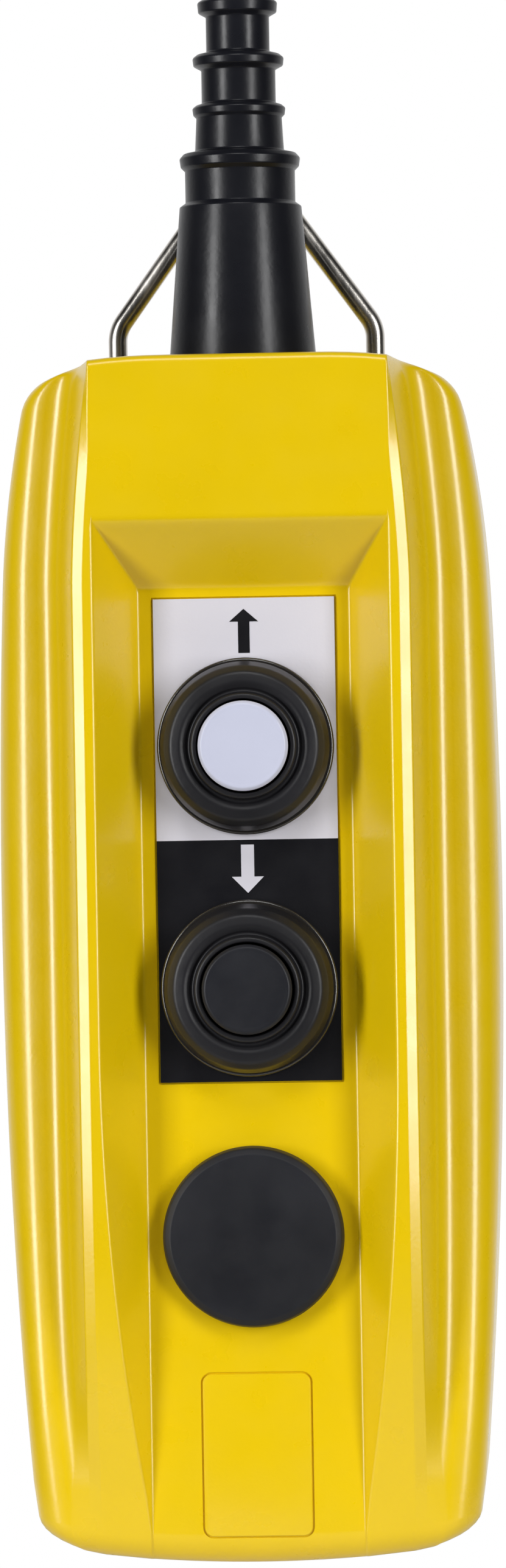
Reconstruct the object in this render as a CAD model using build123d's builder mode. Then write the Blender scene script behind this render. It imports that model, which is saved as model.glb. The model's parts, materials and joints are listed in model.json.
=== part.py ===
from build123d import *
import os
from math import radians, tan

# Pendant control station for a hoist: a two-shell enclosure with an up button, a down button,
# one blanked position, a stepped cable sleeve and a suspension bail.
# Millimetres. +X is right, +Y is towards the back, +Z is up.
# The origin is the centre of the cable sleeve's mouth.

os.makedirs("parts", exist_ok=True)

# ---------------------------------------------------------------- driving dimensions
# Overall
sleeve_height = 60.5
body_height = 200.0
half_width = 41.5
front_depth = 28.0          # recess floor to parting plane
rear_depth = 28.0           # parting plane to back
parting_y = 14.0
wall = 3.0

# Outline seen from the front
side_radius = 1280.0
widest_drop = 90.0          # below the top of the body
shoulder_drop = 38.0
corner_half = 36.2
corner_drop = 4.8
crown_half = 19.0
slope_half = 24.3
slope_drop = 0.95
bottom_radius = 227.0
bottom_half = 37.4
side_round = 9.0
top_round = 3.0
bottom_round = 5.0
seal_corner_round = 6.0

# Raised frame round the controls
ridge_height = 10.0
ridge_top_half = 27.9
ridge_base_half = 32.4
ridge_pinch = 2.9           # how much narrower the frame is at the top of the body
fall_drop = 112.0           # where the frame starts to fall to the floor
end_drop = 192.0            # where it has reached the floor
recess_top_half = 24.3
recess_floor_half = 17.7
recess_lip_drop = 27.1
recess_floor_drop = 38.2
panel_width = 17.9          # bare moulded panel below the controls
panel_height = 26.9
panel_drop = 181.5
panel_rise = 0.3
panel_corner = 1.5

# Control positions
first_drop = 64.5
pitch = 40.0
plug_pitch = 41.1           # second control to the blanked position
operator_hole = 22.0
operator_clearance = 0.1
legend_width = 30.0
legend_thickness = 1.0
legend_pocket_depth = 0.6
legend_clearance = 0.3
legend_offset = 4.5         # hole centre below the legend's centre

# Push-button operator; heights are measured outwards from the recess floor
travel = 4.5
gasket_thickness = 0.5
gasket_rim = 3.0            # beyond the hole
flange_rim = 3.75           # beyond the barrel
flange_thickness = 1.0
barrel_wall = 1.6
barrel_end = -14.0
web_thickness = 4.0
stem_radius = 4.0
running_clearance = 0.08
head_radius = 7.2
head_underside = 7.5
head_thickness = 2.0
cap_radius = 7.4
cap_thickness = 2.0
boot_gap = 0.3
boot_wall = 1.2
nut_thickness = 4.0
nut_rim = 4.1
thread_clearance = 0.05
stem_past_web = 2.5
clip_thickness = 0.8
clip_groove = 0.6
clip_half = 5.6
clip_gap = 0.1
button_wire = 1.0
button_coil_radius = 6.0
button_coils = 7

# Blanking plug
plug_rim = 4.1              # beyond the barrel
plug_height = 3.2
plug_round = 1.2
plug_stem = 9.0
plug_nut_thickness = 3.0

# Contact blocks
block_width = 26.0
block_height = 32.0
block_depth = 20.0
block_wall = 2.0
chamber_width = 18.0
chamber_height = 8.0
contact_gap = 0.05
press_clearance = 0.5       # plunger's end to the block, with the button pressed
contact_radius = 3.0
contact_length = 11.5
spigot_radius = 1.5
spigot_length = 4.0
bridge_length = 16.0
bridge_width = 5.0
bridge_thickness = 0.8
contact_wire = 0.6
contact_coil_radius = 2.3
contact_coils = 5
strip_inner = 5.0
strip_outer = 17.0
strip_width = 5.0
strip_thickness = 1.0
strip_clearance = 0.1
terminal_x = 15.0
terminal_thread = 1.2
terminal_head = 2.0
terminal_head_thickness = 1.6
terminal_length = 4.0

# Carrier plate behind the contact blocks
carrier_width = 44.0
carrier_margin = 20.0       # above the first and below the second control
carrier_thickness = 2.5
carrier_screw_x = 17.5
carrier_screw_margin = 4.5
post_radius = 4.0
small_thread = 1.2
small_head = 2.4
small_head_thickness = 1.6
small_screw_length = 8.0
block_screw_z = 11.0

# Enclosure screws: x and drop below the top of the body
screw_places = [(30.5, 24.0), (33.8, 100.0), (30.5, 178.0)]
boss_radius = 4.2
screw_thread = 1.9
screw_head = 3.4
screw_head_thickness = 2.4
screw_hole_clearance = 0.3
thread_fit = 0.05
counterbore_radius = 3.8
counterbore_depth = 9.0
screw_grip = 12.0           # thread held in the front boss

# Enclosure gasket
seal_width = 1.2
seal_side_clearance = 0.1
seal_depth = 1.5

# Suspension bail
bail_wire = 3.2
leg_half = 21.8
shoulder_rise = 6.35        # bail's bend above the body
bail_lean = 36.0            # degrees from vertical
bail_top_bend = 9.0
bail_side_bend = 6.0
foot_bend = 3.0
foot_drop = 7.0
foot_reach = 30.4
bearing_clearance = 0.08
slot_clearance = 0.3
bail_swing = 15.0           # degrees
pocket_inner = 17.0
pocket_drop = 11.0

# Cable sleeve: ring and tube heights from the mouth down
rings = [(0.0, 2.1, 6.7), (8.4, 11.1, 7.65), (16.9, 19.2, 7.8), (25.1, 28.0, 10.1)]
tubes = [(8.4, 5.3, 5.3, 3.6), (16.9, 6.2, 6.2, 4.4), (25.1, 7.15, 7.5, 5.3), (33.8, 9.2, 9.2, 6.6)]
cone_top_radius = 10.2
cone_base_radius = 12.3
cone_bore = 9.0
neck_radius = 10.3
neck_clearance = 0.2
sleeve_flange_half = 13.0
sleeve_flange_thickness = 2.5

# Cable clamp
clamp_drop = 24.0
clamp_half = 15.0
clamp_height = 8.0
clamp_bore = 6.5
clamp_face_y = 1.0
clamp_bar_depth = 8.0
clamp_screw_x = 10.8
clamp_screw_thread = 1.4
clamp_screw_head = 2.6
clamp_screw_head_thickness = 2.0
clamp_screw_length = 16.0

# ---------------------------------------------------------------- places worked out from them
top_z = -sleeve_height
bottom_z = top_z - body_height
floor_y = parting_y - front_depth
floor_inner_y = floor_y + wall
ridge_y = floor_y - ridge_height
back_y = parting_y + rear_depth
back_inner_y = back_y - wall
widest_z = top_z - widest_drop
shoulder_z = top_z - shoulder_drop
hole_radius = operator_hole / 2
barrel_radius = hole_radius - operator_clearance
gasket_half = hole_radius + gasket_rim
flange_half = barrel_radius + flange_rim
nut_half = barrel_radius + nut_rim
plug_half = barrel_radius + plug_rim
stations = {"up": top_z - first_drop, "down": top_z - first_drop - pitch}
plug_z = stations["down"] - plug_pitch
legend_face = legend_thickness - legend_pocket_depth
flange_face = legend_face + gasket_thickness + flange_thickness
cap_face = head_underside + head_thickness + cap_thickness
stem_end_y = floor_y - barrel_end + stem_past_web
block_front_y = stem_end_y + travel + press_clearance
block_back_y = block_front_y + block_depth
chamber_front_y = block_front_y + block_wall
contact_y = stem_end_y + contact_gap
bridge_y = contact_y + contact_length
strip_y = bridge_y + bridge_thickness + travel + strip_clearance
chamber_back_y = strip_y + strip_thickness + 3.0
carrier_top = stations["up"] + carrier_margin
carrier_bottom = stations["down"] - carrier_margin
foot_z = top_z - foot_drop
bail_radius = bail_wire / 2
clamp_z = top_z - clamp_drop


def front_plane(y):
    """A plane seen from the front, at depth y: sketches on it use X and Z, and extrude forwards."""
    return Plane.XZ.offset(-y)


def axis_y(x, z):
    """The axis of a control or screw at (x, z), pointing towards the back."""
    return Axis((x, 0, z), (0, 1, 0))


def height_plane(z):
    """A plane for profiles of radius (local x) against depth (local y) of a control at z."""
    return Plane.XY.offset(z)


def side_x(z):
    """Half-width of the enclosure's bowed side at height z."""
    return half_width - (z - widest_z) ** 2 / (2 * side_radius)


def save(piece, label):
    piece.part.label = label
    export_step(piece.part, f"parts/{label}.step")


def turned(points, x, z):
    """A turned piece on the control axis at (x, z), from its closed profile of (radius, height)."""
    with BuildPart() as piece:
        with BuildSketch(height_plane(z)):
            with BuildLine():
                Polyline(*[(x + radius, floor_y - height) for radius, height in points], close=True)
            make_face()
        revolve(axis=axis_y(x, z))
    return piece


def coil(x, z, start_y, end_y, radius, wire, turns):
    """A compression spring along Y between two seats."""
    pitch_y = (end_y - start_y - wire) / turns
    with BuildPart() as spring:
        with BuildLine() as path:
            first_turn = (x, start_y + wire / 2, z)
            Helix(pitch_y, pitch_y * turns, radius, center=first_turn, direction=(0, 1, 0))
        with BuildSketch(Plane(origin=path.line @ 0, z_dir=path.line % 0)):
            Circle(wire / 2)
        sweep(is_frenet=True)
    return spring


def screws(places, plane_y, head, head_thickness, thread, length, direction):
    """Cheese-head screws along Y: the head's seat is at plane_y, and the thread runs in direction."""
    with BuildPart() as group:
        with BuildSketch(front_plane(plane_y)):
            with Locations(*places):
                Circle(head)
        extrude(amount=direction * head_thickness)
        with BuildSketch(front_plane(plane_y)):
            with Locations(*places):
                Circle(thread)
        extrude(amount=-direction * length)
        with BuildSketch(front_plane(plane_y - direction * head_thickness)):
            with Locations(*places):
                SlotOverall(head * 1.6, head * 0.3)
        extrude(amount=-direction * head_thickness * 0.45, mode=Mode.SUBTRACT)
    return group


# ---------------------------------------------------------------- enclosure outlines
with BuildSketch() as outline:
    with BuildLine():
        lower_z = bottom_z + bottom_half ** 2 / (2 * bottom_radius)
        middle_z = (lower_z + shoulder_z) / 2
        crown = Line((0, top_z), (crown_half, top_z))
        side = ThreePointArc(
            (side_x(lower_z), lower_z), (side_x(middle_z), middle_z), (side_x(shoulder_z), shoulder_z)
        )
        shoulder = TangentArc(side @ 1, (corner_half, top_z - corner_drop), tangent=side % 1)
        slope = Line(shoulder @ 1, (slope_half, top_z - slope_drop))
        Line(slope @ 1, crown @ 1)
        RadiusArc((0, bottom_z), side @ 0, -bottom_radius)
        mirror(about=Plane.YZ)
    make_face()

# The gasket's centre line: halfway through the wall, and inside the two bail pockets
with BuildSketch() as seal_line:
    add(outline.sketch)
    corners = seal_line.vertices().filter_by(lambda v: abs(v.X) > corner_half - 1)
    corners = corners.filter_by(lambda v: v.Y > shoulder_z + 1 or v.Y < middle_z)
    fillet(corners, seal_corner_round)
    offset(amount=-wall / 2)
    with Locations((half_width, top_z), (-half_width, top_z)):
        Rectangle(2 * (half_width - pocket_inner), 2 * pocket_drop, mode=Mode.SUBTRACT)

with BuildSketch() as cavity_outline:
    add(seal_line.sketch)
    offset(amount=-wall / 2)


def shell_block(front_y, rear_y, round_front):
    """A solid of the enclosure's outline with its outer edges rounded on one face."""
    with BuildPart() as block:
        with BuildSketch(front_plane(rear_y)):
            add(outline.sketch)
        extrude(amount=rear_y - front_y)
        rounded_y = front_y if round_front else rear_y
        rim = block.faces().sort_by(Axis.Y)[0 if round_front else -1].edges()
        sides = rim.filter_by(lambda e: abs(e.center().X) > slope_half and e.length > shoulder_drop / 2)
        fillet(sides, side_round)
        others = block.edges().filter_by(lambda e: abs(e.center().Y - parting_y) > 0.1)
        upper = others.filter_by(lambda e: e.center().Z > top_z - corner_drop - 1)
        fillet(upper, top_round)
        others = block.edges().filter_by(lambda e: abs(e.center().Y - parting_y) > 0.1)
        lower = others.filter_by(lambda e: e.center().Z < lower_z + 1)
        fillet(lower, bottom_round)
    return block


def cavity_block(front_y, rear_y, round_front):
    """The room inside one shell, with the same wall round the sides as elsewhere."""
    with BuildPart() as block:
        with BuildSketch(front_plane(rear_y)):
            add(cavity_outline.sketch)
        extrude(amount=rear_y - front_y)
        rim = block.faces().sort_by(Axis.Y)[0 if round_front else -1].edges()
        sides = rim.filter_by(lambda e: abs(e.center().X) > corner_half - wall and e.length > shoulder_drop / 3)
        fillet(sides, side_round - wall)
    return block


# ---------------------------------------------------------------- suspension bail
def bail_line():
    """Centre line of the bail's wire in X and Z, from the left foot to the right one."""
    shoulder_point_z = top_z + shoulder_rise
    peak_z = shoulder_point_z + leg_half / tan(radians(bail_lean))
    right = [(0, peak_z), (leg_half, shoulder_point_z), (leg_half, foot_z), (foot_reach, foot_z)]
    left = [(-x, z) for x, z in reversed(right[1:])]
    return left + right


with BuildPart() as suspension_bail:
    with BuildLine(Plane.XZ.offset(-parting_y)) as wire_path:
        FilletPolyline(
            *bail_line(), radius=[foot_bend, bail_side_bend, bail_top_bend, bail_side_bend, foot_bend]
        )
    with BuildSketch(Plane(origin=wire_path.line @ 0, z_dir=wire_path.line % 0)):
        Circle(bail_radius)
    sweep()
save(suspension_bail, "suspension_bail")

# Room for the bail's legs and feet, on both sides of the parting plane
swing_room = foot_drop * tan(radians(bail_swing)) + 2 * slot_clearance
bend_half = bail_radius + slot_clearance
bearing_x = leg_half + foot_bend + slot_clearance
with BuildPart() as bail_room:
    for side_sign in (1, -1):
        slot_depth = 2 * bend_half + swing_room
        slot_y = parting_y + (slot_depth / 2 - bend_half)
        leg_height = foot_drop + bend_half
        with Locations((side_sign * leg_half, slot_y, top_z + 1 - (leg_height + 1) / 2)):
            Box(2 * bend_half, slot_depth, leg_height + 1)
        room_width = bearing_x - leg_half + bend_half
        room_x = side_sign * (leg_half - bend_half + room_width / 2)
        room_height = foot_bend + 2 * bend_half + slot_clearance
        with Locations((room_x, slot_y, foot_z - bend_half + room_height / 2)):
            Box(room_width, slot_depth, room_height)
        bore_length = foot_reach + slot_clearance - bearing_x
        with Locations((side_sign * (bearing_x + bore_length / 2), parting_y, foot_z)):
            Cylinder(bail_radius + bearing_clearance, bore_length, rotation=(0, 90, 0))

# ---------------------------------------------------------------- front shell
screw_centres = [(sign * x, top_z - drop) for x, drop in screw_places for sign in (1, -1)]
clamp_screw_centres = [(clamp_screw_x, clamp_z), (-clamp_screw_x, clamp_z)]
operator_centres = [(0, z) for z in stations.values()] + [(0, plug_z)]

# The raised frame, with its falling lower end
flank_slope = (ridge_base_half - ridge_top_half) / ridge_height
with BuildPart() as ridge:
    ridge_root_y = floor_inner_y - wall / 2
    root_half = ridge_base_half + (ridge_root_y - floor_y) * flank_slope
    for depth_y, half in ((ridge_root_y, root_half), (ridge_y, ridge_top_half)):
        with BuildSketch(front_plane(depth_y)):
            with BuildLine():
                straight = Line((half, bottom_z - wall), (half, shoulder_z))
                pinch = TangentArc(straight @ 1, (half - ridge_pinch, top_z + wall), tangent=straight % 1)
                Line(pinch @ 1, (ridge_pinch - half, top_z + wall))
                left = TangentArc(
                    (-half, shoulder_z), (ridge_pinch - half, top_z + wall), tangent=straight % 1
                )
                Line(left @ 0, (-half, bottom_z - wall))
                Line((-half, bottom_z - wall), straight @ 0)
            make_face()
    loft(ruled=True)
    with BuildSketch(front_plane(ridge_root_y)):
        add(outline.sketch)
    extrude(amount=ridge_root_y - ridge_y, mode=Mode.INTERSECT)
    fall_radius = (end_drop - fall_drop) ** 2 / (2 * ridge_height)
    with BuildSketch(Plane.YZ) as fall_profile:
        with BuildLine():
            face = Line((ridge_y, top_z), (ridge_y, top_z - fall_drop))
            fall = ThreePointArc(
                face @ 1,
                (ridge_y + ((end_drop - fall_drop) / 2) ** 2 / (2 * fall_radius),
                 top_z - (fall_drop + end_drop) / 2),
                (floor_y, top_z - end_drop),
            )
            foot = Line(fall @ 1, (ridge_root_y, top_z - end_drop))
            back = Line(foot @ 1, (ridge_root_y, top_z))
            Line(back @ 1, face @ 0)
        make_face()
    extrude(amount=half_width, both=True, mode=Mode.INTERSECT)
    upper_front = ridge.edges().filter_by(
        lambda e: e.center().Z > top_z - corner_drop and abs(e.center().Y - ridge_y) < 0.1
    )
    fillet(upper_front, top_round)

# The recess: a floor with three sloping walls, open at its lower end
recess_length = body_height - recess_lip_drop + 10
with BuildPart() as recess:
    for depth_y, half, drop in (
        (ridge_y, recess_top_half, recess_lip_drop),
        (floor_y, recess_floor_half, recess_floor_drop),
    ):
        with BuildSketch(front_plane(depth_y)):
            length = recess_length - drop
            with Locations((0, top_z - drop - length / 2)):
                Rectangle(2 * half, length)
    loft()

# Hollows moulded behind the raised frame
slope_wall = wall * 1.5
core_y = ridge_y + wall
rib_core_y = ridge_y + 2 * wall
rib_core_end = fall_drop + 36.0
rib_core_outer = ridge_base_half - slope_wall * 0.55
with BuildPart() as frame_cores:
    for depth_y, half, drop in (
        (core_y, ridge_top_half - wall * 0.7, recess_lip_drop - slope_wall * 0.3),
        (floor_inner_y, rib_core_outer, recess_floor_drop - slope_wall * 0.3),
    ):
        with BuildSketch(front_plane(depth_y)):
            with Locations((0, top_z - (pocket_drop + wall / 2 + drop) / 2)):
                Rectangle(2 * half, drop - pocket_drop - wall / 2)
    loft()
    with BuildSketch(front_plane(floor_inner_y)):
        with Locations((0, top_z - (wall + pocket_drop + wall) / 2)):
            Rectangle(2 * pocket_inner - wall, pocket_drop)
    extrude(amount=floor_inner_y - core_y)
with BuildPart() as rib_cores:
    slope_per_depth = (recess_top_half - recess_floor_half) / ridge_height
    for depth_y, outer in ((rib_core_y, ridge_top_half), (floor_inner_y, rib_core_outer)):
        inner = recess_floor_half + (floor_y - depth_y) * slope_per_depth + wall * 1.2
        with BuildSketch(front_plane(depth_y)):
            with Locations(((inner + outer) / 2, top_z - (recess_floor_drop + rib_core_end) / 2)):
                Rectangle(outer - inner, rib_core_end - recess_floor_drop)
    loft()
    mirror(about=Plane.YZ)

with BuildPart() as front_shell:
    add(shell_block(floor_y, parting_y, True).part)
    add(ridge.part)
    add(cavity_block(floor_inner_y, parting_y, True).part, mode=Mode.SUBTRACT)
    add(frame_cores.part, mode=Mode.SUBTRACT)
    add(rib_cores.part, mode=Mode.SUBTRACT)
    add(recess.part, mode=Mode.SUBTRACT)
    # Bosses for the enclosure screws
    with BuildSketch(front_plane(parting_y)):
        with Locations(*screw_centres):
            Circle(boss_radius)
    extrude(amount=front_depth - wall / 2)
    with BuildSketch(front_plane(parting_y)):
        with Locations(*screw_centres):
            Circle(screw_thread + thread_fit)
    extrude(amount=screw_grip + 2, mode=Mode.SUBTRACT)
    # Saddle of the cable clamp
    with BuildSketch(front_plane(clamp_face_y)):
        with Locations((0, clamp_z)):
            Rectangle(2 * clamp_half, clamp_height)
    extrude(amount=clamp_face_y - core_y + wall / 2)
    with BuildSketch(Plane.XY.offset(clamp_z - clamp_height / 2)):
        Circle(clamp_bore)
    extrude(amount=clamp_height, mode=Mode.SUBTRACT)
    with BuildSketch(front_plane(clamp_face_y)):
        with Locations(*clamp_screw_centres):
            Circle(clamp_screw_thread + thread_fit)
    extrude(amount=clamp_screw_length - clamp_bar_depth + 2, mode=Mode.SUBTRACT)
    # Control holes, legend pocket and the bare panel
    with BuildSketch(front_plane(floor_inner_y)):
        with Locations(*operator_centres):
            Circle(hole_radius)
    extrude(amount=2 * wall, mode=Mode.SUBTRACT)
    with BuildSketch(front_plane(floor_y + legend_pocket_depth)):
        with Locations((0, (stations["up"] + stations["down"]) / 2 + legend_offset)):
            RectangleRounded(legend_width + 2 * legend_clearance, 2 * pitch + 2 * legend_clearance, 1.0)
    extrude(amount=ridge_height, mode=Mode.SUBTRACT)
    with BuildSketch(front_plane(floor_y + wall / 2)):
        with Locations((0, top_z - panel_drop)):
            RectangleRounded(panel_width, panel_height, panel_corner)
    extrude(amount=wall / 2 + panel_rise)
    # Hole for the cable sleeve's neck, and the bail's room
    with BuildSketch(Plane.XY.offset(top_z - wall - 1)):
        Circle(neck_radius + neck_clearance)
    extrude(amount=wall + 2, mode=Mode.SUBTRACT)
    add(bail_room.part, mode=Mode.SUBTRACT)
save(front_shell, "front_shell")

# ---------------------------------------------------------------- rear shell
post_x = carrier_screw_x
post_places = [
    (sign * post_x, z)
    for sign in (1, -1)
    for z in (carrier_top - carrier_screw_margin, carrier_bottom + carrier_screw_margin)
]
carrier_back_y = block_back_y + carrier_thickness

with BuildPart() as rear_shell:
    add(shell_block(parting_y, back_y, False).part)
    add(cavity_block(parting_y, back_inner_y, False).part, mode=Mode.SUBTRACT)
    with BuildSketch(front_plane(back_y - wall / 2)):
        with Locations(*screw_centres):
            Circle(boss_radius + wall / 2)
    extrude(amount=counterbore_depth + wall / 2)
    with BuildSketch(front_plane(back_y - wall / 2)):
        with Locations(*screw_centres):
            Circle(boss_radius)
    extrude(amount=rear_depth - wall / 2)
    with BuildSketch(front_plane(back_inner_y + wall / 2)):
        with Locations(*post_places):
            Circle(post_radius)
    extrude(amount=back_inner_y + wall / 2 - carrier_back_y)
    with BuildSketch(front_plane(carrier_back_y)):
        with Locations(*post_places):
            Circle(small_thread + thread_fit)
    extrude(amount=-small_screw_length, mode=Mode.SUBTRACT)
    # Screw holes with counterbores
    with BuildSketch(front_plane(back_y)):
        with Locations(*screw_centres):
            Circle(counterbore_radius)
    extrude(amount=counterbore_depth, mode=Mode.SUBTRACT)
    with BuildSketch(front_plane(back_y)):
        with Locations(*screw_centres):
            Circle(screw_thread + screw_hole_clearance)
    extrude(amount=rear_depth, mode=Mode.SUBTRACT)
    # Groove for the gasket
    with BuildSketch(front_plane(parting_y + seal_depth)):
        add(seal_line.sketch)
        offset(amount=seal_width / 2 + seal_side_clearance)
        add(offset(seal_line.sketch, amount=-seal_width / 2 - seal_side_clearance, mode=Mode.PRIVATE),
            mode=Mode.SUBTRACT)
    extrude(amount=seal_depth, mode=Mode.SUBTRACT)
    add(bail_room.part, mode=Mode.SUBTRACT)
save(rear_shell, "rear_shell")

with BuildPart() as enclosure_gasket:
    with BuildSketch(front_plane(parting_y + seal_depth)):
        add(seal_line.sketch)
        offset(amount=seal_width / 2)
        add(offset(seal_line.sketch, amount=-seal_width / 2, mode=Mode.PRIVATE), mode=Mode.SUBTRACT)
    extrude(amount=seal_depth)
save(enclosure_gasket, "enclosure_gasket")

head_seat_y = back_y - counterbore_depth
screw_length = head_seat_y - parting_y + screw_grip
save(
    screws(screw_centres, head_seat_y, screw_head, screw_head_thickness, screw_thread, screw_length, -1),
    "enclosure_screws",
)

# ---------------------------------------------------------------- cable sleeve and clamp
def sleeve_profile():
    """Closed profile of radius and height: down the outside, then up through the bore."""
    outside = []
    for (ring_top, ring_end, ring_radius), (tube_end, upper, lower, bore) in zip(rings, tubes):
        outside += [(ring_radius, -ring_top), (ring_radius, -ring_end)]
        outside += [(upper, -ring_end), (lower, -tube_end)]
    cone_top = -tubes[-1][0]
    flange_top = top_z - wall
    flange_end = flange_top - sleeve_flange_thickness
    outside += [(cone_top_radius, cone_top), (cone_base_radius, top_z), (neck_radius, top_z)]
    outside += [(neck_radius, flange_top), (sleeve_flange_half, flange_top)]
    outside += [(sleeve_flange_half, flange_end), (cone_bore, flange_end)]
    inside = []
    for (tube_end, upper, lower, bore), start in zip(reversed(tubes), (25.1, 16.9, 8.4, 0.0)):
        inside += [(bore, -tube_end), (bore, -start)]
    return outside + inside


with BuildPart() as cable_sleeve:
    with BuildSketch(Plane.XZ):
        with BuildLine():
            Polyline(*sleeve_profile(), close=True)
        make_face()
    revolve(axis=Axis.Z)
save(cable_sleeve, "cable_sleeve")

with BuildPart() as cable_clamp:
    with BuildSketch(front_plane(clamp_face_y + clamp_bar_depth)):
        with Locations((0, clamp_z)):
            Rectangle(2 * clamp_half, clamp_height)
    extrude(amount=clamp_bar_depth)
    with BuildSketch(Plane.XY.offset(clamp_z - clamp_height / 2)):
        Circle(clamp_bore)
    extrude(amount=clamp_height, mode=Mode.SUBTRACT)
    with BuildSketch(front_plane(clamp_face_y + clamp_bar_depth)):
        with Locations(*clamp_screw_centres):
            Circle(clamp_screw_thread + screw_hole_clearance)
    extrude(amount=clamp_bar_depth, mode=Mode.SUBTRACT)
save(cable_clamp, "cable_clamp")
save(
    screws(
        clamp_screw_centres, clamp_face_y + clamp_bar_depth, clamp_screw_head,
        clamp_screw_head_thickness, clamp_screw_thread, clamp_screw_length, -1,
    ),
    "cable_clamp_screws",
)

# ---------------------------------------------------------------- legends
arrow_proud = 0.05
arrow_depth = 0.25


def arrow(z, points_up, tip_rise, length, head_length, head_width, shaft_width):
    """An arrow's flat shape; tip_rise is its tip's height above the hole's centre."""
    sign = 1 if points_up else -1
    tip = z + tip_rise
    with BuildSketch() as shape:
        with BuildLine():
            Polyline(
                (0, tip),
                (head_width / 2, tip - sign * head_length),
                (shaft_width / 2, tip - sign * head_length),
                (shaft_width / 2, tip - sign * length),
                (-shaft_width / 2, tip - sign * length),
                (-shaft_width / 2, tip - sign * head_length),
                (-head_width / 2, tip - sign * head_length),
                close=True,
            )
        make_face()
    return shape.sketch


arrows = {
    "up": arrow(stations["up"], True, 22.7, 7.3, 2.1, 4.8, 1.9),
    "down": arrow(stations["down"], False, 15.7, 8.0, 2.7, 5.3, 2.15),
}
for name, z in stations.items():
    face_y = floor_y - legend_face
    with BuildPart() as legend:
        with BuildSketch(front_plane(floor_y + legend_pocket_depth)):
            with Locations((0, z + legend_offset)):
                Rectangle(legend_width, pitch)
            with Locations((0, z)):
                Circle(hole_radius, mode=Mode.SUBTRACT)
        extrude(amount=legend_thickness)
        with BuildSketch(front_plane(face_y + arrow_depth)):
            add(arrows[name])
        extrude(amount=arrow_depth, mode=Mode.SUBTRACT)
    save(legend, f"legend_{name}")
    with BuildPart() as inlay:
        with BuildSketch(front_plane(face_y + arrow_depth)):
            add(arrows[name])
        extrude(amount=arrow_depth + arrow_proud)
    save(inlay, f"arrow_{name}")

# ---------------------------------------------------------------- push-button operators
barrel_bore = barrel_radius - barrel_wall
web_top = barrel_end + web_thickness
gasket_top = legend_face + gasket_thickness
clip_top = barrel_end - clip_gap
clip_seat = stem_radius - clip_groove


def bezel_profile():
    guide = stem_radius + running_clearance
    return [
        (flange_half, gasket_top), (flange_half, flange_face), (barrel_bore, flange_face),
        (barrel_bore, web_top), (guide, web_top), (guide, barrel_end),
        (barrel_radius, barrel_end), (barrel_radius, gasket_top),
    ]


def plunger_profile():
    head_top = head_underside + head_thickness
    stem_end = barrel_end - stem_past_web
    return [
        (0, head_top), (head_radius, head_top), (head_radius, head_underside),
        (stem_radius, head_underside), (stem_radius, clip_top), (clip_seat, clip_top),
        (clip_seat, clip_top - clip_thickness), (stem_radius, clip_top - clip_thickness),
        (stem_radius, stem_end), (0, stem_end),
    ]


def boot_profile():
    """Rubber boot: a foot on the flange, a fat roll, and a collar round the cap."""
    collar = cap_radius + boot_gap
    outer = flange_half - 0.8
    foot_inner = barrel_bore + 0.4
    return [
        (outer, flange_face), (outer + 0.2, 4.6), (outer - 0.6, 7.0), (outer - 2.1, 8.6),
        (collar + 2.7, 8.3), (collar + 1.8, 7.7), (collar + boot_wall, 9.0),
        (collar + boot_wall, cap_face - 0.8), (collar + 0.8, cap_face - 0.4), (collar, cap_face - 0.6),
        (collar, head_underside - 0.2), (collar + 1.6, head_underside - 0.9),
        (outer - 2.6, 7.2), (outer - boot_wall - 0.4, 5.8), (outer - boot_wall, 4.4),
        (outer - boot_wall, flange_face + 1.2), (foot_inner, flange_face + 1.2), (foot_inner, flange_face),
    ]


def hex_nut(z, top, thickness, across_corners):
    """A thin nut behind the recess floor; top is its height at the floor's inner face."""
    with BuildPart() as nut:
        with BuildSketch(front_plane(floor_y - top + thickness)):
            with Locations((0, z)):
                RegularPolygon(across_corners, 6)
                Circle(barrel_radius + thread_clearance, mode=Mode.SUBTRACT)
        extrude(amount=thickness)
    return nut


for name, z in stations.items():
    gasket = [
        (hole_radius, legend_face), (gasket_half, legend_face),
        (gasket_half, gasket_top), (hole_radius, gasket_top),
    ]
    save(turned(gasket, 0, z), f"button_{name}_gasket")
    save(turned(bezel_profile(), 0, z), f"button_{name}_bezel")
    save(hex_nut(z, -wall, nut_thickness, nut_half), f"button_{name}_nut")
    save(turned(boot_profile(), 0, z), f"button_{name}_boot")
    save(turned(plunger_profile(), 0, z), f"button_{name}_plunger")
    cap = [
        (0, cap_face - cap_thickness), (cap_radius, cap_face - cap_thickness),
        (cap_radius, cap_face - 0.5), (cap_radius - 0.5, cap_face), (0, cap_face),
    ]
    save(turned(cap, 0, z), f"button_{name}_cap")
    clip = [
        (clip_seat, clip_top), (clip_half, clip_top),
        (clip_half, clip_top - clip_thickness), (clip_seat, clip_top - clip_thickness),
    ]
    save(turned(clip, 0, z), f"button_{name}_clip")
    save(
        coil(0, z, floor_y - head_underside, floor_y - web_top, button_coil_radius, button_wire, button_coils),
        f"button_{name}_spring",
    )

# ---------------------------------------------------------------- blanking plug
plug_profile = [
    (0, gasket_thickness + plug_height), (plug_half - plug_round, gasket_thickness + plug_height),
    (plug_half, gasket_thickness + plug_height - plug_round), (plug_half, gasket_thickness),
    (barrel_radius, gasket_thickness), (barrel_radius, -plug_stem),
    (barrel_bore, -plug_stem), (barrel_bore, gasket_thickness), (0, gasket_thickness),
]
plug_gasket_profile = [
    (hole_radius, 0), (gasket_half, 0), (gasket_half, gasket_thickness), (hole_radius, gasket_thickness),
]
save(turned(plug_profile, 0, plug_z), "blanking_plug")
save(turned(plug_gasket_profile, 0, plug_z), "blanking_plug_gasket")
save(hex_nut(plug_z, -wall, plug_nut_thickness, nut_half), "blanking_plug_nut")

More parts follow.
